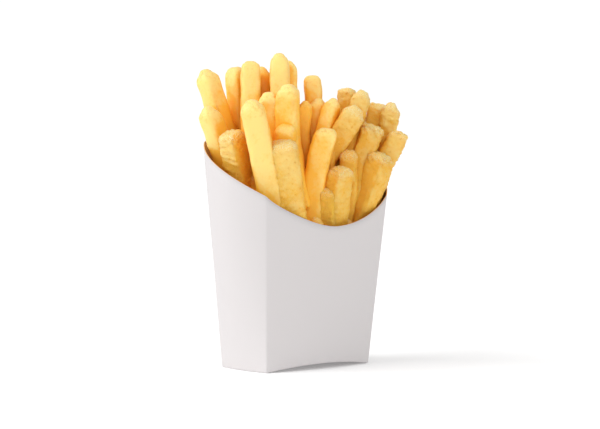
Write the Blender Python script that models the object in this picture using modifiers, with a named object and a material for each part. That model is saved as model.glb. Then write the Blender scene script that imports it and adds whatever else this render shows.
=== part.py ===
"""French fries heaped in an open paperboard carton, as two closed solids.

The carton stands on the bottom edges of its two curved side panels. Its front panel looks
along -Y, +Z is up, and the origin lies on the ground at the middle of the whole object.
Lengths are in metres, apart from the fries' own list, which is in millimetres. Shapes are
worked out from the middle of the carton's base, and an empty carries them to the origin.
"""

import math

import bmesh
import bpy
from mathutils import Matrix, Vector

MM = 0.001

# Carton: plan at the ground, and how far each panel leans out for each metre of height.
BASE_WIDTH = 0.0756
BASE_DEPTH = 0.0400
SIDE_LEAN = 0.0706
FRONT_LEAN = 0.0845
BACK_LEAN = 0.0371
BOARD = 0.0005

# Carton: heights of the cut rim and of the arched bottom edges.
FRONT_CREASE_HEIGHT = 0.0972
FRONT_DIP = 0.0170
FRONT_CURVE = (1.6, 2.0)
BACK_CREASE_HEIGHT = 0.1272
BACK_HUMP = 0.0108
SIDE_HUMP = 0.0016
BOTTOM_ARCH = 0.0032

# Carton: how far the middle of each panel bows out, at the ground and at its fullest.
BOW_HEIGHT = 0.1150
SIDE_BOW = (0.0020, 0.0130)
FRONT_BOW = (0.0040, 0.0085)
BACK_BOW = (0.0020, 0.0030)

# Carton: mesh divisions.
WIDE_COLUMNS = 16
SIDE_COLUMNS = 12
WALL_ROWS = 4

# Middle of the whole object, heap included, from the middle of the carton's base.
MIDDLE_X = 0.0014
MIDDLE_Y = -0.0043

# Gap between the fries and the board, and how far the packed fries stay below the rim.
CLEARANCE = 0.0003
PACKED_BELOW_RIM = 0.0120
PACKED_HEAP = 0.0400
PACKED_INSET = 0.006
PACKED_CUTS = 9

# Fries: the cut, and the shape of one stick along its length.
STICK_RINGS = (0.0, 0.34, 0.67, 0.94, 1.0)
STICK_TIP = 0.74
CORNER = 0.0016

# Each fry: name, tip (x, y, z), foot (x, y, z), side of the cut, turn about its own length in
# degrees, and how far its middle bends to its right. Millimetres.
FRIES = (
    ("left_high", (-47, 24, 168), (-25, 11, 90), 11.5, 10, 0),
    ("left_low", (-54, 11.5, 147), (-34.5, 12.5, 86), 10.8, 12, 0),
    ("left_thin", (-24, 27, 170), (-26, 12, 96), 9.5, 15, 0),
    ("left_tall", (-25, 11, 172), (-32, 1, 95), 11.0, 55, 0),
    ("left_tall_behind", (-12, 16, 170), (-20, 5, 95), 11.0, 50, 0),
    ("top", (-10, 3, 177.5), (-15, -9, 105), 10.6, 48, 0),
    ("top_behind", (0, 6, 174), (-4, 1, 105), 9.6, 50, 0),
    ("front_left", (-48, -20, 150), (-30, -16, 80), 13.0, 48, 1.5),
    ("front_left_behind", (-28, -10, 155), (-15, -4, 98), 12.5, 50, 0),
    ("middle_high", (-22, -18, 159), (-11, -18, 90), 12.0, 32, -1),
    ("middle_stub", (-25.5, -21.5, 136), (-21, -14, 95), 11.6, 42, 0),
    ("front_bent", (-32, -26, 127), (-17, -19, 66), 15.5, 50, 2.5),
    ("left_short", (-50.5, -5, 132), (-31, 1, 82), 11.5, 12, 0),
    ("middle_low", (-1, -28.5, 134.5), (-5, -18, 70), 13.0, 46, -1.0),
    ("long_slanting", (22.5, -27.5, 147), (-7, 6, 82), 12.6, 50, 0),
    ("slanting_behind", (36, -17, 157), (14, -11, 98), 11.0, 50, 0),
    ("corner_behind", (38, -2, 158), (34, -8, 100), 10.0, 20, 0),
    ("middle_slanting", (16.5, -15, 152), (-1, -12, 98), 9.6, 18, 0),
    ("back_upright", (16, 4.5, 165.5), (10, -3, 104), 9.5, 50, 0),
    ("deep_left", (2, -5.5, 151), (0, -7, 95), 9.5, 44, 0),
    ("deep_right", (12.5, -5, 152.5), (4, -5, 98), 10.0, 48, 0),
    ("right_tall", (57, -19, 150.5), (42, -14, 88), 9.6, 50, 0),
    ("right_flat", (56, -9, 149.5), (36, -10, 95), 10.4, 50, 0),
    ("right_crumbly", (36, -26, 136.5), (21, -15, 82), 12.5, 50, 0.5),
    ("right_out", (51, -31.5, 132.5), (36, -17, 84), 11.5, 50, 0),
    ("right_front", (35, -35, 120), (24, -12, 60), 12.2, 10, 0),
    ("front_low", (5, -33, 113), (9, -19, 62), 12.8, 7, 0),
    ("front_low_behind", (1, -27, 102), (4, -17, 60), 11.0, 44, 0),
    ("right_stub", (17.5, -26, 122), (20, -18, 80), 10.0, 50, 0),
    ("right_deep", (34, -16, 117), (34, -10, 60), 10.5, 10, 0),
    ("right_gap", (40, -5, 137), (22, -3, 85), 10.0, 15, 0),
    ("left_filler", (-38, 6, 134), (-30, 4, 90), 9.5, 10, 0),
    ("back_1", (-36, 21, 142), (-32, 12, 92), 10.0, 10, 0),
    ("back_2", (-13, 24, 152), (-16, 11, 94), 10.5, 85, 0),
    ("back_3", (3, 26, 157), (-1, 12, 96), 10.0, 10, 0),
    ("back_4", (17, 24, 149), (11, 12, 94), 10.5, 85, 0),
    ("back_5", (31, 24, 150), (24, 11, 94), 10.0, 4, 0),
    ("back_6", (46, 21, 147), (36, 11, 94), 10.5, 75, 0),
    ("back_7", (53, 13, 141), (40, 8, 92), 10.0, 12, 0),
    ("back_8", (55, 5, 138), (39, 3, 90), 10.5, 80, 0),
    ("back_9", (32, 17, 154), (24, 8, 96), 10.0, 40, 0),
    ("back_10", (3, 17, 158), (-4, 8, 98), 10.0, 70, 0),
    ("inner_1", (-36, -4, 128), (-27, -4, 85), 10.0, 30, 0),
    ("inner_2", (-12, -8, 137), (-8, -6, 90), 10.0, 60, 0),
    ("inner_3", (25, 9, 147), (19, 6, 95), 10.0, 25, 0),
    ("inner_4", (44, 11, 147), (36, 7, 92), 10.5, 55, 0),
    ("inner_5", (25, -7, 137), (19, -5, 90), 10.0, 35, 0),
    ("inner_6", (46, -9, 138), (37, -6, 88), 10.0, 5, 0),
    ("inner_7", (10, -16, 127), (8, -10, 80), 10.0, 40, 0),
    ("inner_8", (-11, 8, 150), (-11, 6, 98), 10.0, 20, 0),
)

CARTON_WHITE = (0.86, 0.86, 0.87, 1.0)
FRY_GOLD = (0.86, 0.55, 0.17, 1.0)


def clear_scene():
    for item in list(bpy.data.objects):
        bpy.data.objects.remove(item, do_unlink=True)


def add_collection(name):
    collection = bpy.data.collections.new(name)
    bpy.context.scene.collection.children.link(collection)
    return collection


def add_material(name, colour, roughness):
    material = bpy.data.materials.new(name)
    material.use_nodes = True
    shader = material.node_tree.nodes["Principled BSDF"]
    shader.inputs["Base Color"].default_value = colour
    shader.inputs["Roughness"].default_value = roughness
    shader.inputs["Metallic"].default_value = 0.0
    material.diffuse_color = colour
    return material


def add_carrier(collection):
    """The empty that everything hangs on; it brings the object's middle to the origin."""
    carrier = bpy.data.objects.new("carton_base_middle", None)
    carrier.location = (-MIDDLE_X, -MIDDLE_Y, 0.0)
    carrier.empty_display_size = BASE_DEPTH / 2
    collection.objects.link(carrier)
    return carrier


def add_object(name, bm, collection, carrier):
    mesh = bpy.data.meshes.new(name)
    bm.to_mesh(mesh)
    bm.free()
    made = bpy.data.objects.new(name, mesh)
    made.parent = carrier
    collection.objects.link(made)
    return made


def hide_cutter(cutter):
    cutter.display_type = "WIRE"
    cutter.hide_render = True


def arc(share):
    """0 at both ends of a panel and 1 at its middle."""
    return 1.0 - (2.0 * share - 1.0) ** 2


def bow(ends, height):
    """How far a panel's middle bows out at a height: it eases to its fullest near the rim."""
    ground, fullest = ends
    share = min(max(height / BOW_HEIGHT, 0.0), 1.0)
    return ground + (fullest - ground) * math.sin(math.pi / 2 * share)


def floor_height(across):
    """The floor is a low vault that runs from front to back."""
    return BOTTOM_ARCH * arc(across)


def rim_height(across, along):
    """The cut rim: dipped at the front, barely arched up the sides and humped at the back."""
    off_middle = abs(2.0 * across - 1.0)
    curve = FRONT_CURVE[0] + (FRONT_CURVE[1] - FRONT_CURVE[0]) * across
    dip = FRONT_DIP * (1.0 - 0.89 * off_middle ** curve - 0.11 * off_middle ** 12)
    front = FRONT_CREASE_HEIGHT - dip
    back = BACK_CREASE_HEIGHT + BACK_HUMP * arc(across)
    return front + (back - front) * along + SIDE_HUMP * arc(along)


def plan_point(across, along, height):
    """A point inside the carton: across 0 to 1 is left to right, along 0 to 1 front to back."""
    half_width = BASE_WIDTH / 2 + SIDE_LEAN * height
    half_width += bow(SIDE_BOW, height) * arc(along)
    front = -BASE_DEPTH / 2 - FRONT_LEAN * height - bow(FRONT_BOW, height) * arc(across)
    back = BASE_DEPTH / 2 + BACK_LEAN * height + bow(BACK_BOW, height) * arc(across)
    return Vector((half_width * (2 * across - 1), front + (back - front) * along, height))


def wall_point(across, along, rise, lift):
    """A point on the carton's outer skin, with rise 0 at the bottom edge and 1 at the rim."""
    low = floor_height(across)
    high = rim_height(across, along) + lift
    return plan_point(across, along, low + (high - low) * rise)


def add_patch(bm, columns, rows, place):
    """Add a grid and move each of its points to place(u, v), with u and v from 0 to 1."""
    made = bmesh.ops.create_grid(bm, x_segments=columns, y_segments=rows, size=0.5)
    for vertex in made["verts"]:
        vertex.co = place(vertex.co.x + 0.5, vertex.co.y + 0.5)


def add_skin(name, collection, carrier, lift):
    """The carton's outer skin as an open surface: four bowed panels and a vaulted floor."""
    bm = bmesh.new()
    add_patch(bm, WIDE_COLUMNS, WALL_ROWS, lambda u, v: wall_point(u, 0.0, v, lift))
    add_patch(bm, SIDE_COLUMNS, WALL_ROWS, lambda u, v: wall_point(1.0, u, v, lift))
    add_patch(bm, WIDE_COLUMNS, WALL_ROWS, lambda u, v: wall_point(1.0 - u, 1.0, v, lift))
    add_patch(bm, SIDE_COLUMNS, WALL_ROWS, lambda u, v: wall_point(0.0, 1.0 - u, v, lift))
    add_patch(bm, WIDE_COLUMNS, SIDE_COLUMNS,
              lambda u, v: plan_point(u, 1.0 - v, floor_height(u)))
    bmesh.ops.remove_doubles(bm, verts=bm.verts, dist=0.00001)
    # The panels twist a little, so triangles keep the board and its clearance parallel.
    bmesh.ops.triangulate(bm, faces=bm.faces, quad_method="FIXED")
    return add_object(name, bm, collection, carrier)


def thicken(item, thickness, outward):
    """Give a skin a thickness, of which the share outward lies outside it."""
    solidify = item.modifiers.new("thickness", "SOLIDIFY")
    solidify.thickness = thickness
    solidify.offset = 2.0 * outward / thickness - 1.0
    solidify.use_even_offset = True


def add_carton(collection, carrier, material):
    """The folded blank: panels and floor in one piece of board, with its thickness inside."""
    carton = add_skin("carton", collection, carrier, 0.0)
    thicken(carton, BOARD, 0.0)
    carton.data.materials.append(material)
    return carton


def packed_height(across, along):
    """The top of the fries that stay hidden, a little under the rim and heaped in the middle."""
    heap = PACKED_HEAP * arc(across) * arc(along)
    return rim_height(across, along) - PACKED_BELOW_RIM + heap


def add_packed_fries(collection, carrier, material):
    """One block that fills the carton; the board and its clearance are cut off it later."""
    bm = bmesh.new()
    bmesh.ops.create_cube(bm, size=1.0)
    bmesh.ops.subdivide_edges(bm, edges=bm.edges[:], cuts=PACKED_CUTS, use_grid_fill=True)
    for vertex in bm.verts:
        rise = vertex.co.z + 0.5
        across = 0.5 + vertex.co.x * (1.0 - 2.0 * PACKED_INSET)
        along = 0.5 + vertex.co.y * (1.0 - 2.0 * PACKED_INSET)
        low = floor_height(across)
        high = packed_height(across, along)
        vertex.co = plan_point(across, along, low + (high - low) * rise)
    packed = add_object("fries", bm, collection, carrier)
    packed.data.materials.append(material)
    return packed


def add_stick(name, tip, foot, side, turn, bend, collection, carrier):
    """One fry: a square stick with blunt corners, bent a little and narrowed at its tip."""
    start = Vector(foot) * MM
    run = Vector(tip) * MM - start
    bm = bmesh.new()
    bmesh.ops.create_cube(bm, size=1.0)
    long_edges = [edge for edge in bm.edges
                  if abs(edge.verts[0].co.z - edge.verts[1].co.z) > 0.5]
    bmesh.ops.bevel(bm, geom=long_edges, offset=CORNER / (side * MM), offset_type="OFFSET",
                    segments=1, profile=0.5, affect="EDGES", material=-1)
    long_edges = [edge for edge in bm.edges
                  if abs(edge.verts[0].co.z - edge.verts[1].co.z) > 0.5]
    bmesh.ops.subdivide_edges(bm, edges=long_edges, cuts=len(STICK_RINGS) - 2)
    last = len(STICK_RINGS) - 1
    for vertex in bm.verts:
        ring = round((vertex.co.z + 0.5) * last)
        share = STICK_RINGS[ring]
        width = side * MM * (STICK_TIP if ring == last else 1.0)
        vertex.co.x = vertex.co.x * width
        vertex.co.y = vertex.co.y * width - bend * MM * arc(share)
        vertex.co.z = share * run.length
    aim = Vector((0, 0, 1)).rotation_difference(run).to_matrix().to_4x4()
    spin = Matrix.Rotation(math.radians(turn), 4, "Z")
    stick = add_object("stick_" + name, bm, collection, carrier)
    stick.matrix_basis = Matrix.Translation(start) @ aim @ spin
    hide_cutter(stick)


def add_boolean(item, operation, other=None, group=None):
    boolean = item.modifiers.new(operation.lower(), "BOOLEAN")
    boolean.operation = operation
    boolean.solver = "EXACT"
    boolean.use_self = True
    if group is not None:
        boolean.operand_type = "COLLECTION"
        boolean.collection = group
    else:
        boolean.object = other


def main():
    clear_scene()
    parts = add_collection("french_fries_in_carton")
    cutters = add_collection("cutters")
    sticks = add_collection("sticks")

    carrier = add_carrier(parts)

    add_carton(parts, carrier, add_material("white_paperboard", CARTON_WHITE, 0.75))

    fries = add_packed_fries(parts, carrier, add_material("fried_potato", FRY_GOLD, 0.55))
    for name, tip, foot, side, turn, bend in FRIES:
        add_stick(name, tip, foot, side, turn, bend, sticks, carrier)
    add_boolean(fries, "UNION", group=sticks)

    room = add_skin("carton_room", cutters, carrier, CLEARANCE)
    thicken(room, BOARD + 2 * CLEARANCE, CLEARANCE)
    hide_cutter(room)
    add_boolean(fries, "DIFFERENCE", other=room)


main()
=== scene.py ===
"""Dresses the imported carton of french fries: real sticks over a core, board, floor and light."""

import math
import random

import bmesh
import bpy
from bpy.props import FloatProperty, FloatVectorProperty, IntProperty, PointerProperty
from bpy.types import Operator, Panel, PropertyGroup
from mathutils import Matrix, Vector, noise
from mathutils.bvhtree import BVHTree


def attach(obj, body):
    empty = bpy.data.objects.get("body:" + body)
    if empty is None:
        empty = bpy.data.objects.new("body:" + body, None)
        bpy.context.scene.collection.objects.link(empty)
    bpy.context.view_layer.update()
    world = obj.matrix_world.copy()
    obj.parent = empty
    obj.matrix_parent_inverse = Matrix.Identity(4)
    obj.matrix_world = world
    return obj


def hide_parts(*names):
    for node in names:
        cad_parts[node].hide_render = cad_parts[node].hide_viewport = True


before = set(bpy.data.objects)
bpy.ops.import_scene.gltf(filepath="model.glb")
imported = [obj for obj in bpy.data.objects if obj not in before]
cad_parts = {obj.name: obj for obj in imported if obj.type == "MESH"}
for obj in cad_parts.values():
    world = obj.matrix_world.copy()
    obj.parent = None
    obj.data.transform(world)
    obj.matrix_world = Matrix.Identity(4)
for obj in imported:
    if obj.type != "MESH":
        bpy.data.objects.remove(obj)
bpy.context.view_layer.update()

bl_info = {
    "name": "Carton of French Fries",
    "version": (1, 0, 0),
    "blender": (4, 5, 0),
    "location": "View3D > Sidebar > Fries",
    "description": "Builds a carton of french fries with its board, sticks, floor and lights",
    "category": "Object",
}

MM = 0.001

# The object's middle, measured from the middle of the carton's base.
MIDDLE = Vector((0.0014, -0.0043, 0.0))

# Carton: plan at the ground, and how far each panel leans out for each metre of height.
BASE_WIDTH = 0.0756
BASE_DEPTH = 0.0400
SIDE_LEAN = 0.0706
FRONT_LEAN = 0.0845
BACK_LEAN = 0.0371

# Carton: heights of the cut rim and of the arched bottom edges.
FRONT_CREASE_HEIGHT = 0.0972
FRONT_DIP = 0.0170
FRONT_CURVE = (1.6, 2.0)
BACK_CREASE_HEIGHT = 0.1272
BACK_HUMP = 0.0108
SIDE_HUMP = 0.0016
BOTTOM_ARCH = 0.0032

# Carton: how far the middle of each panel bows out, at the ground and at its fullest.
BOW_HEIGHT = 0.1150
SIDE_BOW = (0.0020, 0.0130)
FRONT_BOW = (0.0040, 0.0085)
BACK_BOW = (0.0020, 0.0030)

# Carton: divisions of its skin, across, front to back and up.
WIDE_COLUMNS = 48
DEEP_COLUMNS = 32
WALL_ROWS = 20

# Top of the fries that stay hidden: below the rim at the board, heaped in the middle.
PACKED_BELOW_RIM = 0.0200
PACKED_HEAP = 0.0220
PACKED_INSET = 0.022
CORE_CELLS = 28

# Short packed sticks: how many stand front to back and across, and how deep their tops lie under
# the rim, in millimetres.
PACKED_ROWS = 5
PACKED_COLUMNS = 10
PACKED_TOPS = (-15, -8)

# Each stick: name, tip (x, y, z), foot (x, y, z), side of the cut, turn about its own length in
# degrees, and how far its middle bends to its right. Millimetres, from the carton's base.
SMOOTH_STICKS = (
    ("left_high", (-47, 24, 168), (-25, 11, 90), 11.5, 10, 0),
    ("left_low", (-54, 11.5, 147), (-34.5, 12.5, 86), 10.8, 12, 0),
    ("left_thin", (-24, 27, 170), (-26, 12, 96), 9.5, 15, 0),
    ("left_tall", (-25, 11, 172), (-32, 1, 95), 11.0, 55, 0),
    ("left_tall_behind", (-12, 16, 170), (-20, 5, 95), 11.0, 50, 0),
    ("top", (-10, 3, 177.5), (-15, -9, 105), 10.6, 48, 0),
    ("top_behind", (0, 6, 174), (-4, 1, 105), 9.6, 50, 0),
    ("front_left", (-48, -20, 150), (-30, -16, 80), 13.0, 48, 1.5),
    ("front_left_behind", (-28, -10, 155), (-15, -4, 98), 12.5, 50, 0),
    ("middle_high", (-22, -18, 159), (-11, -18, 90), 12.0, 32, -1),
    ("middle_stub", (-25.5, -21.5, 136), (-21, -14, 95), 11.6, 42, 0),
    ("middle_low", (-1, -28.5, 134.5), (-5, -18, 70), 13.0, 46, -1.0),
    ("back_upright", (16, 4.5, 165.5), (10, -3, 104), 9.5, 50, 0),
    ("deep_left", (2, -5.5, 151), (0, -7, 95), 9.5, 44, 0),
    ("deep_right", (12.5, -5, 152.5), (4, -5, 98), 10.0, 48, 0),
    ("middle_slanting", (16.5, -15, 152), (-1, -12, 98), 9.6, 18, 0),
    ("left_filler", (-38, 6, 134), (-30, 4, 90), 9.5, 10, 0),
    ("back_1", (-36, 21, 142), (-32, 12, 92), 10.0, 10, 0),
    ("back_2", (-13, 24, 152), (-16, 11, 94), 10.5, 85, 0),
    ("back_3", (3, 26, 157), (-1, 12, 96), 10.0, 10, 0),
    ("back_4", (17, 24, 149), (11, 12, 94), 10.5, 85, 0),
    ("back_5", (31, 24, 150), (24, 11, 94), 10.0, 4, 0),
    ("back_6", (46, 21, 147), (36, 11, 94), 10.5, 75, 0),
    ("back_7", (53, 13, 141), (40, 8, 92), 10.0, 12, 0),
    ("back_8", (55, 5, 138), (39, 3, 90), 10.5, 80, 0),
    ("back_9", (32, 17, 154), (24, 8, 96), 10.0, 40, 0),
    ("back_10", (3, 17, 158), (-4, 8, 98), 10.0, 70, 0),
    ("inner_1", (-36, -4, 128), (-27, -4, 85), 10.0, 30, 0),
    ("inner_2", (-12, -8, 137), (-8, -6, 90), 10.0, 60, 0),
    ("inner_3", (25, 9, 147), (19, 6, 95), 10.0, 25, 0),
    ("inner_4", (44, 11, 147), (36, 7, 92), 10.5, 55, 0),
    ("inner_5", (25, -7, 137), (19, -5, 90), 10.0, 35, 0),
    ("inner_7", (10, -16, 127), (8, -10, 80), 10.0, 40, 0),
    ("inner_8", (-11, 8, 150), (-11, 6, 98), 10.0, 20, 0),
)
CRISP_STICKS = (
    ("left_short", (-50.5, -5, 132), (-31, 1, 82), 11.5, 12, 0),
    ("front_bent", (-32, -26, 127), (-17, -19, 66), 15.5, 50, 2.5),
    ("long_slanting", (22.5, -27.5, 147), (-7, 6, 82), 12.6, 50, 0),
    ("slanting_behind", (36, -17, 157), (14, -11, 98), 11.0, 50, 0),
    ("corner_behind", (38, -2, 158), (34, -8, 100), 10.0, 20, 0),
    ("right_tall", (57, -19, 150.5), (42, -14, 88), 9.6, 50, 0),
    ("right_flat", (56, -9, 149.5), (36, -10, 95), 10.4, 50, 0),
    ("right_crumbly", (36, -26, 136.5), (21, -15, 82), 12.5, 50, 0.5),
    ("right_out", (51, -31.5, 132.5), (36, -17, 84), 11.5, 50, 0),
    ("right_front", (35, -35, 120), (24, -12, 60), 12.2, 10, 0),
    ("front_low", (5, -33, 113), (9, -19, 62), 12.8, 7, 0),
    ("front_low_behind", (1, -27, 102), (4, -17, 60), 11.0, 44, 0),
    ("right_stub", (17.5, -26, 122), (20, -18, 80), 10.0, 50, 0),
    ("right_deep", (34, -16, 117), (34, -10, 60), 10.5, 10, 0),
    ("right_gap", (40, -5, 137), (22, -3, 85), 10.0, 15, 0),
    ("inner_6", (46, -9, 138), (37, -6, 88), 10.0, 5, 0),
)

# Ends that differ from the usual blunt one: width left at the very end, slant of the cut in
# degrees, and depth of its crumbs in millimetres.
ENDS = {
    "front_bent": (0.90, 0, 0.2),
    "middle_low": (0.86, 0, 0.1),
    "left_thin": (0.94, 8, 0.2),
    "left_tall": (0.80, -14, 0.1),
    "corner_behind": (1.0, -12, 0.3),
    "back_upright": (0.92, -12, 0.2),
    "right_out": (1.0, -16, 0.4),
    "right_flat": (1.0, 2, 0.3),
    "right_crumbly": (0.96, 6, 1.9),
    "right_front": (0.94, 4, 1.9),
    "left_short": (0.96, 0, 0.9),
    "front_low": (0.80, 4, 0.6),
    "right_stub": (0.92, 6, 0.4),
    "middle_stub": (0.97, 6, 0.3),
    "front_low_behind": (0.97, 0, 0.0),
}
BLUNT_END = (0.74, 0, 0.1)

# How far the rim of an end drops back from its middle, in millimetres: a blunt end and a cut one.
BULLET = 2.6
CUT = 0.35

# Numbers that every stick keeps on its vertices for the fried surface to read.
SURFACE_LAYERS = ("corner", "tip", "tone_and_shade", "open")

# How much browner than its neighbours a stick is drawn: partly its own frying, partly painted
# shade on the sticks deep in the heap and painted light on the paler ones at the lit left.
TONE_AND_SHADE = {
    "deep_left": 0.70, "deep_right": 0.20, "left_tall_behind": 0.0, "middle_stub": 0.45,
    "middle_high": 0.15, "right_crumbly": 0.25, "right_front": 0.30, "front_low": 0.20,
    "right_deep": 0.60, "front_low_behind": 0.80, "right_flat": -0.1, "right_stub": 0.25,
    "right_tall": -0.2, "middle_low": 0.2,
    "left_high": -0.25, "left_low": -0.20, "left_tall": -0.25, "top": -0.20, "left_thin": -0.2,
    "front_left": -0.25, "front_left_behind": -0.15, "slanting_behind": -0.2,
    "back_upright": -0.25, "corner_behind": -0.2,
}

# Painted light: sticks are drawn palest on the side of the heap that stands most open towards this
# side, as if lit from there.
PAINTED_LIGHT_SIDE = (-0.8, -0.25, 0.55)
PAINTED_LIGHT_BIAS = 0.55

# Openness: rays cast from each vertex, how far a neighbour still shades it, and how far off the
# skin a ray starts, in millimetres.
OPEN_RAYS = 26
SHADE_REACH = 0.035
RAY_START = 1.3

# Stage: the point looked at, the sides the lights come from, and the floor's white and its glow.
LOOK_AT = Vector((0.00183, -0.00155, 0.0860))
KEY_SIDE = (-1.0, 0.40, 0.75)
KEY_SPREAD = 55
FRONT_SIDE = (-0.15, -1.0, 0.55)
FRONT_SPREAD = 80
FLOOR_WHITE = (0.92, 0.92, 0.92, 1.0)
FLOOR_GLOW = 0.14


class FRIES_PG_Carton(PropertyGroup):
    """Sizes and colours of the folded carton."""

    board: FloatProperty(
        name="Board", description="Thickness of the board", default=0.0005,
        unit="LENGTH", precision=4)
    crease: FloatProperty(
        name="Crease", description="Width of the rounded fold at each crease", default=0.0006,
        unit="LENGTH", precision=4)
    unevenness: FloatProperty(
        name="Unevenness", description="How far the panels wander from their ideal shape",
        default=0.00016, unit="LENGTH", precision=5)
    white: FloatVectorProperty(
        name="White", description="Coated outside of the board", subtype="COLOR",
        size=3, default=(0.635, 0.605, 0.605))
    inside: FloatVectorProperty(
        name="Inside", description="Bare inside of the board, warmed by oil", subtype="COLOR",
        size=3, default=(0.60, 0.42, 0.24))
    cut_edge: FloatVectorProperty(
        name="Cut edge", description="Fibres along the cut rim", subtype="COLOR",
        size=3, default=(0.90, 0.55, 0.26))


class FRIES_PG_Sticks(PropertyGroup):
    """Shape and colours of the fried sticks."""

    smooth_cells: IntProperty(
        name="Smooth cells", description="Divisions across a smooth stick's face", default=8)
    crisp_cells: IntProperty(
        name="Crisp cells", description="Divisions across a crisp stick's face", default=12)
    corner: FloatProperty(
        name="Corner", description="Radius along a stick's long corners", default=0.0031,
        unit="LENGTH", precision=4)
    sway: FloatProperty(
        name="Sway", description="How far a stick wanders from its straight line", default=0.0013,
        unit="LENGTH", precision=4)
    dents: FloatProperty(
        name="Dents", description="Depth of the broad dents in a stick's faces", default=0.0007,
        unit="LENGTH", precision=4)
    blisters: FloatProperty(
        name="Blisters", description="Height of the fried blisters on crisp sticks",
        default=0.00042, unit="LENGTH", precision=5)
    pale: FloatVectorProperty(
        name="Pale", description="Least fried parts", subtype="COLOR",
        size=3, default=(1.0, 0.70, 0.22))
    golden: FloatVectorProperty(
        name="Golden", description="Evenly fried parts", subtype="COLOR",
        size=3, default=(1.0, 0.54, 0.06))
    # Painted shade: this orange stands in for the shade deep between the sticks and on the packed
    # core.
    shade_orange: FloatVectorProperty(
        name="Shade orange", description="Oily faces deep between the sticks", subtype="COLOR",
        size=3, default=(0.98, 0.43, 0.022))
    brown: FloatVectorProperty(
        name="Brown", description="Most fried spots and corners", subtype="COLOR",
        size=3, default=(0.58, 0.20, 0.015))


class FRIES_PG_Stage(PropertyGroup):
    """Camera, light and floor."""

    azimuth: FloatProperty(
        name="Azimuth", description="Side from which the camera looks; 0 looks along +Y",
        subtype="ANGLE", default=math.radians(-40.29))
    elevation: FloatProperty(
        name="Elevation", description="Height of the camera above the level", subtype="ANGLE",
        default=math.radians(1.70))
    distance: FloatProperty(
        name="Distance", description="From the camera to the object", default=0.9686,
        unit="LENGTH")
    lens: FloatProperty(name="Lens", description="Focal length in millimetres", default=102.0)
    key: FloatProperty(
        name="Key", description="Strength of the soft light on the left", default=1.75)
    front: FloatProperty(
        name="Front", description="Strength of the wide light in front", default=0.48)
    fill: FloatProperty(
        name="Fill", description="Strength of the light from all round", default=0.70)


# ---------------------------------------------------------------- shared shape functions

def arc(share):
    """0 at both ends of a panel and 1 at its middle."""
    return 1.0 - (2.0 * share - 1.0) ** 2


def bow(ends, height):
    """How far a panel's middle bows out at a height: it eases to its fullest near the rim."""
    ground, fullest = ends
    share = min(max(height / BOW_HEIGHT, 0.0), 1.0)
    return ground + (fullest - ground) * math.sin(math.pi / 2 * share)


def floor_height(across):
    """The floor is a low vault that runs from front to back."""
    return BOTTOM_ARCH * arc(across)


def rim_height(across, along):
    """The cut rim: dipped at the front, barely arched up the sides and humped at the back."""
    off_middle = abs(2.0 * across - 1.0)
    curve = FRONT_CURVE[0] + (FRONT_CURVE[1] - FRONT_CURVE[0]) * across
    dip = FRONT_DIP * (1.0 - 0.89 * off_middle ** curve - 0.11 * off_middle ** 12)
    front = FRONT_CREASE_HEIGHT - dip
    back = BACK_CREASE_HEIGHT + BACK_HUMP * arc(across)
    return front + (back - front) * along + SIDE_HUMP * arc(along)


def plan_point(across, along, height):
    """A point inside the carton: across 0 to 1 is left to right, along 0 to 1 front to back."""
    half_width = BASE_WIDTH / 2 + SIDE_LEAN * height
    half_width += bow(SIDE_BOW, height) * arc(along)
    front = -BASE_DEPTH / 2 - FRONT_LEAN * height - bow(FRONT_BOW, height) * arc(across)
    back = BASE_DEPTH / 2 + BACK_LEAN * height + bow(BACK_BOW, height) * arc(across)
    point = Vector((half_width * (2 * across - 1), front + (back - front) * along, height))
    return point - MIDDLE


def wall_point(across, along, rise):
    """A point on the carton's outer skin, with rise 0 at the bottom edge and 1 at the rim."""
    low = floor_height(across)
    return plan_point(across, along, low + (rim_height(across, along) - low) * rise)


def add_patch(bm, columns, rows, place):
    """Add a grid and move each of its points to place(u, v), with u and v from 0 to 1."""
    made = bmesh.ops.create_grid(bm, x_segments=columns, y_segments=rows, size=0.5)
    for vertex in made["verts"]:
        vertex.co = place(vertex.co.x + 0.5, vertex.co.y + 0.5)


def add_walls(bm, wide, deep, rows):
    """Add the four panels: front and back wide columns across, sides deep columns along."""
    add_patch(bm, wide, rows, lambda u, v: wall_point(u, 0.0, v))
    add_patch(bm, deep, rows, lambda u, v: wall_point(1.0, u, v))
    add_patch(bm, wide, rows, lambda u, v: wall_point(1.0 - u, 1.0, v))
    add_patch(bm, deep, rows, lambda u, v: wall_point(0.0, 1.0 - u, v))


def add_piece(name, bm, materials):
    """Make a mesh object of a finished bmesh and let it ride on the object's one body."""
    mesh = bpy.data.meshes.new(name)
    bm.to_mesh(mesh)
    bm.free()
    for material in materials:
        mesh.materials.append(material)
    mesh.shade_smooth()
    piece = bpy.data.objects.new(name, mesh)
    bpy.context.scene.collection.objects.link(piece)
    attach(piece, "root")
    return piece


# ---------------------------------------------------------------- node helpers

def new_material(name):
    """A material with only its shader and output, and its tree."""
    material = bpy.data.materials.new(name)
    material.use_nodes = True
    return material, material.node_tree, material.node_tree.nodes["Principled BSDF"]


def new_group(name, inputs, outputs):
    """A shader node group with named sockets, and its own input and output nodes."""
    group = bpy.data.node_groups.new(name, "ShaderNodeTree")
    for label, kind, value in inputs:
        socket = group.interface.new_socket(name=label, in_out="INPUT", socket_type=kind)
        socket.default_value = value
    for label, kind in outputs:
        group.interface.new_socket(name=label, in_out="OUTPUT", socket_type=kind)
    return group, group.nodes.new("NodeGroupInput"), group.nodes.new("NodeGroupOutput")


def noise_node(tree, vector, scale, detail=2.0, roughness=0.5):
    """A Noise Texture read at the given coordinates."""
    node = tree.nodes.new("ShaderNodeTexNoise")
    node.inputs["Scale"].default_value = scale
    node.inputs["Detail"].default_value = detail
    node.inputs["Roughness"].default_value = roughness
    tree.links.new(vector, node.inputs["Vector"])
    return node.outputs["Fac"]


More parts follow.
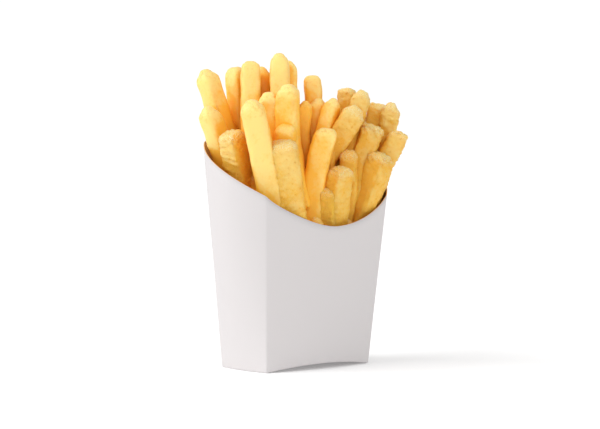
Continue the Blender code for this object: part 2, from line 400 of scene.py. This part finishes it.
def range_node(tree, value, low, high, to_low=0.0, to_high=1.0):
    """A value eased from one range to another."""
    node = tree.nodes.new("ShaderNodeMapRange")
    node.interpolation_type = "SMOOTHSTEP"
    node.inputs["From Min"].default_value = low
    node.inputs["From Max"].default_value = high
    node.inputs["To Min"].default_value = to_low
    node.inputs["To Max"].default_value = to_high
    tree.links.new(value, node.inputs["Value"])
    return node.outputs["Result"]


def math_node(tree, operation, first, second):
    """A Math node; either side may be a socket or a number."""
    node = tree.nodes.new("ShaderNodeMath")
    node.operation = operation
    for socket, value in zip(node.inputs, (first, second)):
        if isinstance(value, (int, float)):
            socket.default_value = value
        else:
            tree.links.new(value, socket)
    return node.outputs["Value"]


def mix_node(tree, factor, first, second, blend="MIX"):
    """A colour Mix node; either colour may be a socket or a colour."""
    node = tree.nodes.new("ShaderNodeMix")
    node.data_type = "RGBA"
    node.blend_type = blend
    sockets = {"Factor": node.inputs[0], "A": node.inputs[6], "B": node.inputs[7]}
    for label, value in (("Factor", factor), ("A", first), ("B", second)):
        socket = sockets[label]
        if isinstance(value, (int, float)):
            socket.default_value = value
        elif isinstance(value, bpy.types.NodeSocket):
            tree.links.new(value, socket)
        else:
            socket.default_value = (*value[:3], 1.0)
    return node.outputs[2]


def attribute_node(tree, name):
    """A number kept on each vertex."""
    node = tree.nodes.new("ShaderNodeAttribute")
    node.attribute_name = name
    return node.outputs["Fac"]


def object_coordinates(tree):
    """Places on the piece, in metres."""
    return tree.nodes.new("ShaderNodeTexCoord").outputs["Object"]


def bump(tree, shader, height, strength, distance):
    """Let a height stand out on a shader's surface."""
    node = tree.nodes.new("ShaderNodeBump")
    node.inputs["Strength"].default_value = strength
    node.inputs["Distance"].default_value = distance
    tree.links.new(height, node.inputs["Height"])
    tree.links.new(node.outputs["Normal"], shader.inputs["Normal"])


# ---------------------------------------------------------------- materials

def fried_surface_group():
    """Colour, roughness and relief of fried potato, from a stick's own attributes, with painted
    light on open faces and painted shade between the sticks and towards their feet.
    """
    group, source, sink = new_group(
        "fried surface",
        (("Pale", "NodeSocketColor", (0.9, 0.7, 0.3, 1.0)),
         ("Golden", "NodeSocketColor", (0.9, 0.5, 0.1, 1.0)),
         ("Shade orange", "NodeSocketColor", (0.8, 0.3, 0.0, 1.0)),
         ("Brown", "NodeSocketColor", (0.5, 0.2, 0.0, 1.0)),
         ("Crispness", "NodeSocketFloat", 0.5)),
        (("Colour", "NodeSocketColor"), ("Roughness", "NodeSocketFloat"),
         ("Height", "NodeSocketFloat")))
    place = object_coordinates(group)
    tone_and_shade = attribute_node(group, "tone_and_shade")
    corner = attribute_node(group, "corner")
    tip = attribute_node(group, "tip")
    open_air = attribute_node(group, "open")
    crispness = source.outputs["Crispness"]

    patches = noise_node(group, place, 95.0, 3.0)
    mottle = noise_node(group, place, 480.0, 4.0, 0.65)
    grain = noise_node(group, place, 1900.0, 3.0, 0.6)

    # Each stick's own tone together with its painted shade, darker towards its foot.
    fried = math_node(group, "ADD", range_node(group, patches, 0.30, 0.72, 0.0, 0.55), tone_and_shade)
    fried = math_node(group, "ADD", fried, range_node(group, mottle, 0.35, 0.75, -0.16, 0.24))
    # Painted light and shade: open faces are drawn paler, closed-in faces more golden.
    fried = math_node(group, "ADD", fried, range_node(group, open_air, 0.30, 0.90, 0.80, -0.35))
    colour = mix_node(group, fried, source.outputs["Pale"], source.outputs["Golden"])
    # Painted shade: faces deep between the sticks are drawn orange.
    deep = range_node(group, open_air, 0.02, 0.5, 1.0, 0.0)
    colour = mix_node(group, deep, colour, source.outputs["Shade orange"])

    specks = range_node(group, mottle, 0.60, 0.74)
    edges = math_node(group, "MULTIPLY", corner, range_node(group, patches, 0.42, 0.62))
    browned = math_node(group, "MULTIPLY", specks, crispness)
    browned = math_node(group, "ADD", math_node(group, "MULTIPLY", browned, 0.42),
                        math_node(group, "MULTIPLY", edges, 0.20))
    tips = math_node(group, "MULTIPLY", tip, range_node(group, mottle, 0.5, 0.7, 0.0, 0.22))
    browned = math_node(group, "ADD", browned, tips)
    colour = mix_node(group, browned, colour, source.outputs["Brown"])

    flakes = math_node(group, "MULTIPLY", range_node(group, grain, 0.58, 0.70), crispness)
    colour = mix_node(group, math_node(group, "MULTIPLY", flakes, 0.55), colour,
                      source.outputs["Pale"])
    crumbs = math_node(group, "MULTIPLY", range_node(group, tip, 0.45, 1.0), crispness)
    crumbs = math_node(group, "MULTIPLY", crumbs, range_node(group, grain, 0.46, 0.60, 0.0, 0.75))
    colour = mix_node(group, crumbs, colour, (1.0, 0.86, 0.52))
    group.links.new(colour, sink.inputs["Colour"])

    group.links.new(range_node(group, mottle, 0.3, 0.7, 0.36, 0.60), sink.inputs["Roughness"])
    relief = math_node(group, "MULTIPLY", grain, math_node(group, "ADD", crispness, 0.15))
    relief = math_node(group, "ADD", math_node(group, "MULTIPLY", mottle, 0.7), relief)
    group.links.new(relief, sink.inputs["Height"])
    return group


def fried_material(name, colours, crispness, relief):
    """Fried potato in its four colours, with the surface that all the sticks share."""
    group = bpy.data.node_groups.get("fried surface") or fried_surface_group()
    material, tree, shader = new_material(name)
    surface = tree.nodes.new("ShaderNodeGroup")
    surface.node_tree = group
    for label, colour in zip(("Pale", "Golden", "Shade orange", "Brown"), colours):
        surface.inputs[label].default_value = (*colour, 1.0)
    surface.inputs["Crispness"].default_value = crispness
    tree.links.new(surface.outputs["Colour"], shader.inputs["Base Color"])
    tree.links.new(surface.outputs["Roughness"], shader.inputs["Roughness"])
    bump(tree, shader, surface.outputs["Height"], relief, 0.0006)
    shader.inputs["Specular IOR Level"].default_value = 0.30
    shader.inputs["Subsurface Weight"].default_value = 0.20
    shader.inputs["Subsurface Radius"].default_value = (1.0, 0.45, 0.12)
    shader.inputs["Subsurface Scale"].default_value = 0.004
    return material


def board_group():
    """Tint, roughness and fibre relief shared by every face of the board."""
    group, source, sink = new_group(
        "paperboard",
        (("Base", "NodeSocketColor", (0.8, 0.8, 0.8, 1.0)),
         ("Stain", "NodeSocketColor", (0.5, 0.3, 0.1, 1.0)),
         ("Stained", "NodeSocketFloat", 0.0)),
        (("Colour", "NodeSocketColor"), ("Roughness", "NodeSocketFloat"),
         ("Height", "NodeSocketFloat")))
    place = object_coordinates(group)
    cloud = noise_node(group, place, 26.0, 3.0)
    fibre = noise_node(group, place, 1500.0, 4.0, 0.7)
    spots = noise_node(group, place, 70.0, 4.0, 0.6)
    shade = mix_node(group, range_node(group, fibre, 0.25, 0.75, 0.0, 0.06),
                     source.outputs["Base"], (0.60, 0.60, 0.62))
    shade = mix_node(group, range_node(group, cloud, 0.3, 0.7, 0.0, 0.05), shade,
                     (0.70, 0.68, 0.66))
    oil = math_node(group, "MULTIPLY", range_node(group, spots, 0.42, 0.62),
                    source.outputs["Stained"])
    group.links.new(mix_node(group, oil, shade, source.outputs["Stain"]), sink.inputs["Colour"])
    group.links.new(range_node(group, fibre, 0.2, 0.8, 0.48, 0.62), sink.inputs["Roughness"])
    group.links.new(fibre, sink.inputs["Height"])
    return group


def board_material(name, group, base, stain, stained):
    """Paperboard of a base colour, stained by oil as strongly as stained says."""
    material, tree, shader = new_material(name)
    board = tree.nodes.new("ShaderNodeGroup")
    board.node_tree = group
    board.inputs["Base"].default_value = (*base, 1.0)
    board.inputs["Stain"].default_value = (*stain, 1.0)
    board.inputs["Stained"].default_value = stained
    tree.links.new(board.outputs["Colour"], shader.inputs["Base Color"])
    tree.links.new(board.outputs["Roughness"], shader.inputs["Roughness"])
    bump(tree, shader, board.outputs["Height"], 0.12, 0.0001)
    shader.inputs["Specular IOR Level"].default_value = 0.35
    return material


# ---------------------------------------------------------------- carton

def carton_skin(crease, unevenness):
    """The outer skin: four bowed panels and a vaulted floor, folded at rounded creases."""
    bm = bmesh.new()
    add_walls(bm, WIDE_COLUMNS, DEEP_COLUMNS, WALL_ROWS)
    add_patch(bm, WIDE_COLUMNS, DEEP_COLUMNS,
              lambda u, v: plan_point(u, 1.0 - v, floor_height(u)))
    bmesh.ops.remove_doubles(bm, verts=bm.verts, dist=0.00001)
    bmesh.ops.recalc_face_normals(bm, faces=bm.faces)
    lowest = min(bm.faces, key=lambda face: face.calc_center_median().z)
    if lowest.normal.z > 0:
        bmesh.ops.reverse_faces(bm, faces=bm.faces)
    folds = [edge for edge in bm.edges
             if len(edge.link_faces) == 2 and edge.calc_face_angle() > math.radians(25)]
    bmesh.ops.bevel(bm, geom=folds, offset=crease, offset_type="OFFSET", segments=3, profile=0.5,
                    affect="EDGES", material=-1, clamp_overlap=True)
    for vertex in bm.verts:
        spot = Vector((vertex.co.x * 22, vertex.co.y * 22, vertex.co.z * 14))
        fade = min(vertex.co.z / 0.02, 1.0)
        vertex.co += vertex.normal * noise.noise(spot) * unevenness * fade
    return bm


class FRIES_OT_carton(Operator):
    """Fold the carton from board, with a cut rim and a warm inside."""

    bl_idname = "fries.make_carton"
    bl_label = "Carton"

    def execute(self, context):
        sizes = context.scene.fries_carton
        group = board_group()
        white = tuple(sizes.white)
        inside = tuple(sizes.inside)
        cut = tuple(sizes.cut_edge)
        materials = (
            board_material("white coated board", group, white, inside, 0.0),
            board_material("bare board inside", group, inside, (0.26, 0.13, 0.05), 0.8),
            board_material("cut board edge", group, cut, (0.72, 0.42, 0.18), 0.5),
        )
        bm = carton_skin(sizes.crease, sizes.unevenness)
        carton = add_piece("carton_board", bm, materials)
        wall = carton.modifiers.new("board", "SOLIDIFY")
        wall.thickness = sizes.board
        wall.offset = -1.0
        wall.use_even_offset = True
        wall.material_offset = 1
        wall.material_offset_rim = 2
        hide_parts("carton")
        return {"FINISHED"}


# ---------------------------------------------------------------- sticks

def rounded(value, half, radius):
    """A coordinate held to the flat part of a box's face, inside its rounded rim."""
    flat = half - radius
    return min(max(value, -flat), flat)


def spread(share):
    """Even steps drawn towards both ends, from -0.5 to 0.5."""
    return 0.5 * (0.72 * math.sin(math.pi * share) + 0.28 * 2.0 * share)


def round_box(x, y, z, wide, deep, length, corner, end):
    """A point of a stick's plain box, moved onto the box with rounded corners."""
    inner = Vector((rounded(x, wide, corner), rounded(y, deep, corner),
                    min(max(z, end), length - end)))
    out = Vector((x, y, z)) - inner
    if out.length > 1e-9:
        shell = Vector((out.x / corner, out.y / corner, out.z / end))
        reach = max(abs(shell.x), abs(shell.y), abs(shell.z), 1e-6)
        shell = shell / shell.length * reach
        out = Vector((shell.x * corner, shell.y * corner, shell.z * end))
    return inner + out


def skin_relief(point, seed, rough, crisp, sizes):
    """How far dents, blisters and the crumbs of a rough end push a stick's skin out."""
    spot = point * 90 + seed
    push = sizes.dents * noise.noise(spot) + sizes.dents * 0.45 * noise.noise(spot * 2.9)
    if crisp:
        fine = noise.noise(point * 640 + seed)
        push += sizes.blisters * max(0.0, fine - 0.02) * 2.4
        push -= sizes.blisters * 0.5 * max(0.0, noise.noise(point * 420 - seed))
    push += rough * (noise.noise(point * 520 + seed) + 0.5 * noise.noise(point * 1100 + seed))
    return push


def stick_bmesh(stick, cells, lengthwise, crisp, sizes, rng):
    """One fried stick, shaped from a finely divided cube and put in its place."""
    name, tip, foot, side, turn, bend = stick
    end_width, slant, crumbs = ENDS.get(name, BLUNT_END)
    start = Vector(foot) * MM - MIDDLE
    run = Vector(tip) * MM - MIDDLE - start
    length = run.length
    half = side * MM / 2
    seed = Vector((rng.uniform(-50, 50), rng.uniform(-50, 50), rng.uniform(-50, 50)))
    twist = math.radians(rng.uniform(-9, 9))
    aspect = rng.uniform(0.94, 1.05)
    corner = sizes.corner * rng.uniform(0.8, 1.15) * (0.8 if crisp else 1.0)

    bm = bmesh.new()
    bmesh.ops.create_cube(bm, size=1.0)
    bmesh.ops.subdivide_edges(bm, edges=bm.edges[:], cuts=cells - 1, use_grid_fill=True)
    long_edges = [edge for edge in bm.edges
                  if abs(edge.verts[0].co.z - edge.verts[1].co.z) > 0.5 / cells]
    bmesh.ops.subdivide_edges(bm, edges=long_edges, cuts=lengthwise - 1)

    corner_layer = bm.verts.layers.float.new("corner")
    tip_layer = bm.verts.layers.float.new("tip")
    tone_and_shade_layer = bm.verts.layers.float.new("tone_and_shade")
    tone_and_shade = rng.uniform(0.0, 0.2) + (0.14 if crisp else 0.0) + TONE_AND_SHADE.get(name, 0.1)
    dome = (CUT if name in ENDS else BULLET) * MM * rng.uniform(0.85, 1.2)
    arch = Vector((rng.uniform(-1, 1), rng.uniform(-1, 1))) * sizes.sway

    for vertex in bm.verts:
        share = vertex.co.z + 0.5
        share = share + 0.10 * math.sin(math.pi * share) * share
        near_tip = max(0.0, 1.0 - (1.0 - share) * length / 0.011)
        narrow = 1.0 - (1.0 - end_width) * (1.0 - math.sqrt(max(0.0, 1.0 - near_tip ** 2.2)))
        swell = 1.0 + 0.055 * noise.noise(Vector((share * length * 38, 0, 0)) + seed)
        wide = half * swell * narrow * aspect
        deep = half * swell * narrow / aspect
        x = spread(vertex.co.x) * 2 * wide
        y = spread(vertex.co.y) * 2 * deep
        z = share * length
        end = min(corner * 1.5, half * 0.8)
        point = round_box(x, y, z, wide, deep, length, corner, end)
        facing = Vector([part if abs(part) > 0.499 else 0.0 for part in vertex.co])
        facing.normalize()

        at_corner = min(abs(spread(vertex.co.x)), abs(spread(vertex.co.y))) * 2
        vertex[corner_layer] = max(0.0, (at_corner - 0.55) / 0.45)
        vertex[tip_layer] = near_tip
        # Painted shade: each stick is drawn browner towards its foot, low in the heap.
        vertex[tone_and_shade_layer] = tone_and_shade + 0.5 * (1.0 - share)

        point += facing * skin_relief(point, seed, crumbs * MM * near_tip, crisp, sizes)
        point.z -= dome * min(1.0, (point.x ** 2 + point.y ** 2) / half ** 2) * near_tip
        point.z += math.tan(math.radians(slant)) * point.x * share ** 3
        angle = twist * (share - 0.5)
        x = point.x * math.cos(angle) - point.y * math.sin(angle)
        y = point.x * math.sin(angle) + point.y * math.cos(angle)
        sway_x = sizes.sway * noise.noise(Vector((share * 2.1, 7.0, 0.0)) + seed)
        sway_y = sizes.sway * noise.noise(Vector((share * 2.1, 0.0, 9.0)) + seed)
        x += sway_x + arch.x * arc(share)
        y += sway_y + arch.y * arc(share) - bend * MM * arc(share)
        vertex.co = Vector((x, y, point.z))

    aim = Vector((0, 0, 1)).rotation_difference(run).to_matrix().to_4x4()
    spin = Matrix.Rotation(math.radians(turn), 4, "Z")
    bmesh.ops.transform(bm, matrix=Matrix.Translation(start) @ aim @ spin, verts=bm.verts)
    return bm


def join_sticks(sticks, cells, lengthwise, crisp, sizes):
    """Several sticks as separate closed shells in one mesh."""
    whole = bmesh.new()
    for label in SURFACE_LAYERS:
        whole.verts.layers.float.new(label)
    for stick in sticks:
        rng = random.Random(stick[0])
        one = stick_bmesh(stick, cells, lengthwise, crisp, sizes, rng)
        loose = bpy.data.meshes.new("loose stick")
        one.to_mesh(loose)
        one.free()
        whole.from_mesh(loose)
        bpy.data.meshes.remove(loose)
    return whole


def sky_directions(count):
    """Directions spread evenly over a sphere."""
    golden = math.pi * (3 - math.sqrt(5))
    for step in range(count):
        rise = 1 - 2 * (step + 0.5) / count
        flat = math.sqrt(1 - rise * rise)
        yield Vector((math.cos(golden * step) * flat, math.sin(golden * step) * flat, rise))


def mark_openness(bm, sizes):
    """Note on every vertex how open it lies, counted most towards the painted light side: 0 deep
    between other sticks, 1 out in the air.
    """
    heap = join_sticks(SMOOTH_STICKS + CRISP_STICKS, 3, 3, False, sizes)
    skin = bmesh.new()
    add_walls(skin, 16, 12, 4)
    trees = BVHTree.FromBMesh(heap), BVHTree.FromBMesh(skin)
    heap.free()
    skin.free()
    bm.normal_update()
    layer = bm.verts.layers.float["open"]
    # The openness leans to the painted light side; the fried surface turns it into painted light
    # and painted shade.
    side = Vector(PAINTED_LIGHT_SIDE).normalized()
    rays = [(ray, 1.0 + PAINTED_LIGHT_BIAS * ray.dot(side)) for ray in sky_directions(OPEN_RAYS)]
    most = max(sum(max(0.0, ray.dot(look)) * weight for ray, weight in rays)
               for look, _ in rays)
    for vertex in bm.verts:
        start = vertex.co + vertex.normal * RAY_START * MM
        free = 0.0
        for ray, weight in rays:
            facing = ray.dot(vertex.normal)
            if facing > 0.1 and all(tree.ray_cast(start, ray, SHADE_REACH)[0] is None
                                    for tree in trees):
                free += facing * weight
        vertex[layer] = free / most


def make_sticks(name, sticks, cells, lengthwise, crisp, sizes, material):
    """All the sticks of one kind, joined in one piece."""
    whole = join_sticks(sticks, cells, lengthwise, crisp, sizes)
    mark_openness(whole, sizes)
    return add_piece(name, whole, (material,))


def packed_rows():
    """Short ends of sticks that stand packed together just under the rim, row by row."""
    rng = random.Random(11)
    for row in range(PACKED_ROWS):
        for column in range(PACKED_COLUMNS):
            across = 0.10 + 0.80 * (column + 0.5 * (row % 2)) / (PACKED_COLUMNS - 0.5)
            along = 0.19 + 0.65 * row / (PACKED_ROWS - 1)
            across += rng.uniform(-0.012, 0.012)
            top = rim_height(across, along) + rng.uniform(*PACKED_TOPS) * MM
            top += 0.8 * PACKED_HEAP * arc(across) * arc(along)
            top -= 14 * MM * max(0.0, 1.0 - along / 0.45)
            tip = (plan_point(across, along, top) + MIDDLE) / MM
            inward = 0.5 + 0.8 * (across - 0.5), 0.5 + 0.8 * (along - 0.5)
            foot = (plan_point(*inward, top - 42 * MM) + MIDDLE) / MM
            yield (f"packed_{row}_{column}", tuple(tip), tuple(foot), rng.uniform(9, 10.5),
                   rng.uniform(0, 90), 0)


def fried_colours(sizes):
    """From least to most fried, with the orange of painted shade third."""
    return tuple(sizes.pale), tuple(sizes.golden), tuple(sizes.shade_orange), tuple(sizes.brown)


class FRIES_OT_smooth_sticks(Operator):
    """Fry the smooth, pale sticks of the heap."""

    bl_idname = "fries.make_smooth_sticks"
    bl_label = "Smooth sticks"

    def execute(self, context):
        sizes = context.scene.fries_sticks
        material = fried_material("smooth fried potato", fried_colours(sizes), 0.25, 0.35)
        piece = make_sticks("smooth_sticks", SMOOTH_STICKS, sizes.smooth_cells, 5, False, sizes,
                            material)
        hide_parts("fries")
        return {"FINISHED"}


class FRIES_OT_crisp_sticks(Operator):
    """Fry the crisp, blistered sticks of the heap."""

    bl_idname = "fries.make_crisp_sticks"
    bl_label = "Crisp sticks"

    def execute(self, context):
        sizes = context.scene.fries_sticks
        material = fried_material("crisp fried potato", fried_colours(sizes), 1.0, 1.0)
        piece = make_sticks("crisp_sticks", CRISP_STICKS, sizes.crisp_cells, 6, True, sizes,
                            material)
        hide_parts("fries")
        return {"FINISHED"}


class FRIES_OT_packed_sticks(Operator):
    """Stand the short sticks that fill the carton up to its rim."""

    bl_idname = "fries.make_packed_sticks"
    bl_label = "Packed sticks"

    def execute(self, context):
        sizes = context.scene.fries_sticks
        material = fried_material("packed sticks", fried_colours(sizes), 0.6, 0.6)
        piece = make_sticks("packed_sticks", tuple(packed_rows()), 5, 3, False, sizes, material)
        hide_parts("fries")
        return {"FINISHED"}


class FRIES_OT_core(Operator):
    """Fill the carton with one packed core under the sticks."""

    bl_idname = "fries.make_core"
    bl_label = "Packed core"

    def execute(self, context):
        sizes = context.scene.fries_sticks
        # Painted shade: the core is drawn one step darker, in the orange of the shade between the
        # sticks.
        colours = (tuple(sizes.golden), tuple(sizes.shade_orange), tuple(sizes.shade_orange),
                   tuple(sizes.brown))
        material = fried_material("packed fried potato", colours, 0.8, 0.8)
        bm = bmesh.new()
        bmesh.ops.create_cube(bm, size=1.0)
        bmesh.ops.subdivide_edges(bm, edges=bm.edges[:], cuts=CORE_CELLS - 1, use_grid_fill=True)
        for vertex in bm.verts:
            rise = vertex.co.z + 0.5
            across = 0.5 + vertex.co.x * (1.0 - 2.0 * PACKED_INSET)
            along = 0.5 + vertex.co.y * (1.0 - 2.0 * PACKED_INSET)
            low = floor_height(across) + 2 * MM
            heap = PACKED_HEAP * arc(across) * arc(along)
            high = rim_height(across, along) - PACKED_BELOW_RIM + heap
            point = plan_point(across, along, low + (high - low) * rise)
            point.z += rise ** 6 * 0.004 * noise.noise(point * 130)
            vertex.co = point
        # Openness stays at zero, so the fried surface draws the whole core in painted shade.
        for label in SURFACE_LAYERS:
            bm.verts.layers.float.new(label)
        core = add_piece("fries_core", bm, (material,))
        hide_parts("fries")
        return {"FINISHED"}


# ---------------------------------------------------------------- stage

def floor_material():
    """A white sweep: it glows a little, so that only a soft shadow shows on it."""
    material, tree, shader = new_material("white floor")
    shader.inputs["Base Color"].default_value = FLOOR_WHITE
    shader.inputs["Roughness"].default_value = 1.0
    shader.inputs["Specular IOR Level"].default_value = 0.0
    shader.inputs["Emission Color"].default_value = (1.0, 1.0, 1.0, 1.0)
    shader.inputs["Emission Strength"].default_value = FLOOR_GLOW
    return material


def add_sun(name, source, spread, strength):
    """An even light from the given side, as soft as its angle in degrees is wide."""
    light = bpy.data.lights.new(name, "SUN")
    light.angle = math.radians(spread)
    light.energy = strength
    holder = bpy.data.objects.new(name, light)
    holder.rotation_euler = Vector(source).to_track_quat("Z", "Y").to_euler()
    bpy.context.scene.collection.objects.link(holder)


def set_world(fill):
    """White to the camera and an even, softer light to everything else."""
    world = bpy.data.worlds.new("studio")
    world.use_nodes = True
    tree = world.node_tree
    background = tree.nodes["Background"]
    background.inputs["Color"].default_value = (1.0, 1.0, 1.0, 1.0)
    path = tree.nodes.new("ShaderNodeLightPath")
    strength = math_node(tree, "MULTIPLY", path.outputs["Is Camera Ray"], 1.03 - fill)
    strength = math_node(tree, "ADD", strength, fill)
    tree.links.new(strength, background.inputs["Strength"])
    bpy.context.scene.world = world


class FRIES_OT_stage(Operator):
    """Set up the pale floor, the soft lights and the camera."""

    bl_idname = "fries.make_stage"
    bl_label = "Stage"

    def execute(self, context):
        stage = context.scene.fries_stage
        bm = bmesh.new()
        bmesh.ops.create_grid(bm, x_segments=1, y_segments=1, size=12.0)
        mesh = bpy.data.meshes.new("studio_floor")
        bm.to_mesh(mesh)
        bm.free()
        mesh.materials.append(floor_material())
        floor = bpy.data.objects.new("studio_floor", mesh)
        context.scene.collection.objects.link(floor)

        add_sun("key_left", KEY_SIDE, KEY_SPREAD, stage.key)
        add_sun("front_soft", FRONT_SIDE, FRONT_SPREAD, stage.front)
        set_world(stage.fill)

        target = LOOK_AT - MIDDLE
        flat = math.cos(stage.elevation) * stage.distance
        away = Vector((math.sin(stage.azimuth) * flat, -math.cos(stage.azimuth) * flat,
                       math.sin(stage.elevation) * stage.distance))
        data = bpy.data.cameras.new("camera")
        data.lens = stage.lens
        data.sensor_width = 36.0
        camera = bpy.data.objects.new("camera", data)
        camera.location = target + away
        camera.rotation_euler = (-away).to_track_quat("-Z", "Y").to_euler()
        context.scene.collection.objects.link(camera)
        context.scene.camera = camera
        context.scene.view_settings.view_transform = "Standard"
        return {"FINISHED"}


class FRIES_PT_panel(Panel):
    """Sizes, colours and the pieces to build."""

    bl_label = "Carton of fries"
    bl_idname = "FRIES_PT_panel"
    bl_space_type = "VIEW_3D"
    bl_region_type = "UI"
    bl_category = "Fries"

    def draw(self, context):
        column = self.layout.column()
        for group in (context.scene.fries_carton, context.scene.fries_sticks,
                      context.scene.fries_stage):
            for label in group.bl_rna.properties.keys():
                if label not in {"rna_type", "name"}:
                    column.prop(group, label)
        for operator in OPERATORS:
            column.operator(operator.bl_idname)


GROUPS = (FRIES_PG_Carton, FRIES_PG_Sticks, FRIES_PG_Stage)
OPERATORS = (FRIES_OT_carton, FRIES_OT_core, FRIES_OT_packed_sticks, FRIES_OT_smooth_sticks,
             FRIES_OT_crisp_sticks, FRIES_OT_stage)


def register():
    """Add the sizes, the operators and the panel to Blender."""
    for item in (*GROUPS, *OPERATORS, FRIES_PT_panel):
        bpy.utils.register_class(item)
    bpy.types.Scene.fries_carton = PointerProperty(type=FRIES_PG_Carton)
    bpy.types.Scene.fries_sticks = PointerProperty(type=FRIES_PG_Sticks)
    bpy.types.Scene.fries_stage = PointerProperty(type=FRIES_PG_Stage)


def unregister():
    """Take them out again, in the opposite order."""
    del bpy.types.Scene.fries_stage
    del bpy.types.Scene.fries_sticks
    del bpy.types.Scene.fries_carton
    for item in reversed((*GROUPS, *OPERATORS, FRIES_PT_panel)):
        bpy.utils.unregister_class(item)


def main():
    """Build every piece and the stage."""
    register()
    bpy.ops.fries.make_carton()
    bpy.ops.fries.make_core()
    bpy.ops.fries.make_packed_sticks()
    bpy.ops.fries.make_smooth_sticks()
    bpy.ops.fries.make_crisp_sticks()
    bpy.ops.fries.make_stage()
    bpy.context.view_layer.update()


if __name__ == "__main__":
    main()
